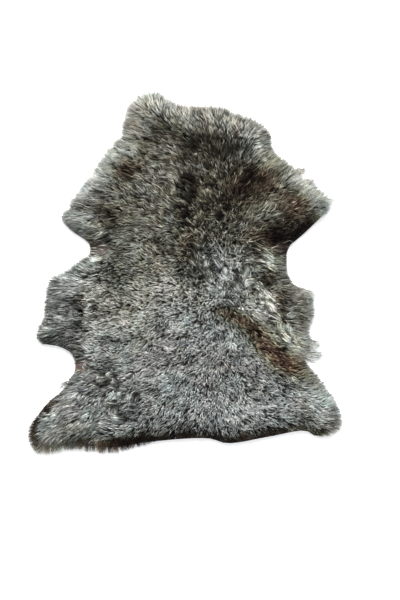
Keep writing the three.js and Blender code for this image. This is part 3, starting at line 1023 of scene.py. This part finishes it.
def add_wool():
    """The wool over the whole skin, in small clumps, as one piece for each band along it."""
    x, y, inside, outward, station = grown_places()
    # how near each clump is to a dark edge, where the wool stands upright and carries painted shade
    dark = dark_shaded_edge(station) * np.clip(1 - inside / DARK_WIDTH, 0, 1)
    near_rim = np.clip(1 - inside / RIM_SWEEP, 0, 1) * (1 - dark_shaded_edge(station))
    tuft, tuft_middle = tufts(x, y)
    heading, lean, sleek = clump_lean(x, y, near_rim, dark, outward, tuft)
    raised = np.minimum(1 + waves(x, y, column=1) + RIPPLE_RISE * ripples(x, y), HIGHEST_WAVE)
    height = pile_height(x, y) * raised * rng.uniform(*HEIGHT_VARIES, len(x))
    room = inside + reach_past(station) * rng.uniform(*ROOM_VARIES, len(x))
    lean = np.minimum(lean, room / np.maximum((heading * outward).sum(axis=1), LEAST_OUTWARD))
    curl = curliness(x, y)
    stops = rng.normal(0, CLUMP_STOPS, len(x)) + TUFT_STOPS * rng.normal(size=LATTICE ** 2)[tuft]
    stops = stops * (1 + CURL_STOPS * np.maximum(curl, sleek)) + CURL_SHADE * curl
    # lighter where the rim wool is long, and painted shade along the dark edges
    stops = stops + rim_stops(station) * np.maximum(near_rim ** 2, np.sqrt(dark))
    every = np.repeat(np.arange(len(x)), CLUMP_STRANDS)
    spread = rng.normal(0, 0.5, (len(every), 2)) * CLUMP_WIDTH / 2
    ground = np.stack((x, y), axis=-1)[every]
    tip_place = ground + CLUMP_TIP_SHARE * spread + heading[every] * lean[every, None]
    gather = TUFT_GATHER * (1 - near_rim[every, None])
    tip_place = tip_place + gather * (tuft_middle[every] - ground)
    shown = rng.uniform(size=len(every)) > BARE_SHARE * bareness_along(ground, tip_place)
    every, spread, ground, tip_place = every[shown], spread[shown], ground[shown], tip_place[shown]
    count = len(every)
    root = np.column_stack((ground + spread, STRAND_ROOT_SHARE * height[every]))
    tip = np.column_stack((tip_place, height[every] * rng.uniform(*TIP_VARIES, count)))
    path = bent_path(root, tip, KNEE_RISE * (tip[:, 2] - root[:, 2]), (0, 0.5, 1))
    broad = 1 - FINER * np.maximum(near_rim, 0.5 * foreness(y)) + BROADER * sleek
    width = STRAND_WIDTH * broad[every, None] * rng.uniform(*WIDTH_VARIES, (count, 1))
    stops = stops[every] + rng.normal(0, STRAND_STOPS, count)
    colour = strand_colours(path, stops, DARK_WARMTH * dark[every], rng.uniform(*GAIN_VARIES, count))
    band = np.searchsorted(REGION_EDGES, root[:, 1])
    return [
        add_strands(f"wool_{region}", path[band == i], width[band == i], colour[band == i])
        for i, region in enumerate(REGIONS)
    ]


def add_rim_wool():
    """The longer wool that overhangs the cut edge, in tiers one above the other."""
    station = np.tile(np.arange(0, EDGE_LENGTH, RIM_SPACING), RIM_TIERS)
    tier = np.repeat(np.arange(RIM_TIERS), len(station) // RIM_TIERS)
    station = (station + rng.uniform(0, RIM_SPACING, len(station))) % EDGE_LENGTH
    edge = edge_at(EDGE, station)
    outward = unit(edge_at(EDGE_OUT, station))
    heading = lean_direction(*edge.T, np.ones(len(edge)), outward)
    lock = (station / RIM_LOCK).astype(int)
    locks = lock.max() + 1
    off_middle = station - (lock + 0.5) * RIM_LOCK
    turn = rng.normal(0, RIM_TURN[0], locks)[lock] + rng.normal(0, RIM_TURN[1], len(edge))
    heading = turned(unit(heading + outward), turn)
    reach = reach_past(station) * (1 - TIER_SHORTER * tier) * rng.uniform(*RIM_REACHES, locks)[lock]
    stops = rim_stops(station) + rng.normal(0, RIM_SHADES[0], locks)[lock]
    stops = stops + rng.normal(0, RIM_SHADES[1], len(edge))
    every = np.repeat(np.arange(len(edge)), RIM_STRANDS)
    beside = leftward(outward)[every]
    tip_place = edge[every] + heading[every] * reach[every, None] * rng.uniform(*RIM_REACHES, (len(every), 1))
    tip_place = tip_place - RIM_GATHER * off_middle[every, None] * beside
    bare = bareness_along(edge[every] - RIM_DEPTH * heading[every], tip_place)
    shown = rng.uniform(size=len(every)) > BARE_SHARE * bare
    every, tip_place, beside = every[shown], tip_place[shown], beside[shown]
    count = len(every)
    spread = rng.normal(0, RIM_SPREAD, (count, 1)) * beside
    low = TIER_HEIGHT * (1 + tier[every]) + rng.uniform(0, RIM_VARIES[0], count)
    depth = RIM_DEPTH * rng.uniform(*RIM_ROOTS, (count, 1))
    root = np.column_stack((edge[every] - depth * heading[every] + spread, low))
    high = RIM_TIP_HEIGHT * low + rng.uniform(0, RIM_VARIES[1], count)
    tip = np.column_stack((tip_place + RIM_TIP_SPREAD * spread, high))
    path = bent_path(root, tip, RIM_RISE + TIER_HEIGHT * tier[every], (0, RIM_BEND, 1))
    width = RIM_WIDTH * rng.uniform(*WIDTH_VARIES, (count, 1))
    stops = stops[every] + rng.normal(0, RIM_SHADES[2], count)
    warmth = DARK_WARMTH * dark_shaded_edge(station)[every]
    colour = strand_colours(path, stops, warmth, rng.uniform(*RIM_GAIN, count))
    return add_strands("wool_rim", path, width, colour)


def fold_tufts():
    """Rows like those of the locks for the small tufts along each fold."""
    rows = []
    for place, start_x, start_y, end_x, end_y, width, count, heading, stops in FOLDS:
        start, end = np.array((start_x, start_y)), np.array((end_x, end_y))
        along = unit(end - start)
        beside = leftward(along)
        for i in range(count):
            middle = start + (end - start) * (i + rng.uniform(0, 1)) / count
            x, y = middle + width * rng.uniform(-0.5, 0.5) * beside - 0.5 * FOLD_TUFT[0] * along
            length, tuft_width = np.array(FOLD_TUFT) * rng.uniform(*FOLD_SIZES)
            tuft_heading = heading + rng.normal(0, FOLD_TURN)
            bend = rng.normal(0, FOLD_BEND)
            tuft_stops = stops + rng.normal(0, FOLD_SHADES)
            rows.append((place, x, y, length, tuft_width, tuft_heading, bend, tuft_stops, 0))
    return rows


def add_locks():
    """The locks and curls that stand out from the wool, each of wavy strands that taper together."""
    path, stops, warmth = [], [], []
    share = np.linspace(0, 1, LOCK_RINGS + 2)
    arch = LOCK_ARCH[0] + LOCK_ARCH[1] * share * (1 - share)
    for _, x, y, length, width, heading, bend, lock_stops, lock_warmth in LOCKS + fold_tufts():
        count = round(LOCK_STRANDS * length * width)
        start = rng.uniform(0, LOCK_ROOTS, (count, 1))
        angle = math.radians(heading) + math.radians(bend) * (share - 0.5)
        angle = angle + np.radians(rng.normal(0, LOCK_SPREAD, (count, 1)))
        swing = LOCK_WAVES * share + rng.normal(0, LOCK_WAVE_SHIFT, (count, 1))
        angle = angle + LOCK_WAVE * np.sin(2 * math.pi * swing)
        step = length * (rng.uniform(*LOCK_ENDS, (count, 1)) - start) / (LOCK_RINGS + 1)
        side = rng.normal(size=(count, 1))
        aside = LOCK_SIDE * side * width * (1 - LOCK_TAPER * share)
        steps = np.hstack((start * length, np.repeat(step, LOCK_RINGS + 1, axis=1)))
        across = x + np.cumsum(steps * np.cos(angle), axis=1) - aside * np.sin(angle)
        up = y + np.cumsum(steps * np.sin(angle), axis=1) + aside * np.cos(angle)
        height = pile_height(across.ravel(), up.ravel()).reshape(across.shape)
        lift = rng.uniform(*LOCK_LIFTS) * rng.uniform(*STRAND_LIFTS, (count, 1))
        height = np.maximum(height * arch * lift, LOCK_LEAST)
        path.append(np.stack((across, up, height), axis=-1))
        # painted shade at the sides of each lock, where the locks part
        edge_shade_stops = LOCK_EDGE_SHADE_STOPS * (np.abs(side[:, 0]) - LOCK_EDGE_MEAN)
        stops.append(lock_stops + edge_shade_stops + rng.normal(0, LOCK_STOPS, count))
        warmth.append(np.full(count, lock_warmth))
    path = np.concatenate(path)
    width = STRAND_WIDTH * rng.uniform(*LOCK_WIDTHS, (len(path), 1)) * np.array(LOCK_RING_WIDTHS)
    colour = strand_colours(path, np.concatenate(stops), np.concatenate(warmth), np.ones(len(path)))
    return add_strands("wool_locks", path, width, colour)


hide = add_hide()
underwool = add_underwool()
wool = add_wool()
rim_wool = add_rim_wool()
locks = add_locks()


# Floor, light and camera

FLOOR_SIZE = 8.0
FLOOR_DROP = 0.0005  # how far it lies under the hide
FLOOR_COLOUR = (0.9, 0.9, 0.9, 1)
FLOOR_GLOW = 0.45
WHITE = (1, 1, 1, 1)
SKY_COLOUR = (0.95, 0.97, 1.0, 1)
SKY_STRENGTH = 0.35
CAMERA_HEIGHT = 68  # degrees above the floor
CAMERA_DISTANCE = 2.05
CAMERA_AIM = Vector((0.0285, -0.115, 0.0))


def add_floor():
    """A pale floor that shines a little, so that it shows white."""
    bpy.ops.mesh.primitive_plane_add(size=FLOOR_SIZE, location=(0, 0, -FLOOR_DROP))
    floor = bpy.context.object
    floor.name = "floor"
    material, _, shader = new_material("floor", roughness=0.9, specular=0.1)
    set_inputs(shader, {"Base Color": FLOOR_COLOUR, "Emission Color": WHITE, "Emission Strength": FLOOR_GLOW})
    floor.data.materials.append(material)


def add_light(name, place, size, power, colour):
    """A round lamp at a place, turned to the middle of the skin."""
    data = bpy.data.lights.new(name, "AREA")
    data.shape = "DISK"
    data.size = size
    data.energy = power
    data.color = colour
    light = bpy.data.objects.new(name, data)
    light.location = place
    light.rotation_euler = (-Vector(place)).to_track_quat("-Z", "Y").to_euler()
    bpy.context.scene.collection.objects.link(light)


def add_camera():
    """The camera, above the rump and looking down along the skin."""
    data = bpy.data.cameras.new("camera")
    data.lens = 50
    data.sensor_width = 36
    camera = bpy.data.objects.new("camera", data)
    angle = math.radians(CAMERA_HEIGHT)
    back = Vector((0, -math.cos(angle), math.sin(angle)))
    camera.location = CAMERA_AIM + CAMERA_DISTANCE * back
    camera.rotation_euler = back.to_track_quat("Z", "Y").to_euler()
    bpy.context.scene.collection.objects.link(camera)
    bpy.context.scene.camera = camera


add_floor()
add_light("key", (-0.6, 1.6, 2.6), size=1.2, power=150, colour=(1.0, 0.98, 0.96))
add_light("fill", (1.2, -1.6, 2.2), size=2.0, power=25, colour=(0.92, 0.96, 1.0))
add_camera()
world = bpy.data.worlds.new("studio")
world.use_nodes = True
set_inputs(world.node_tree.nodes["Background"], {"Color": SKY_COLOUR, "Strength": SKY_STRENGTH})
bpy.context.scene.world = world
bpy.context.scene.view_settings.view_transform = "Standard"
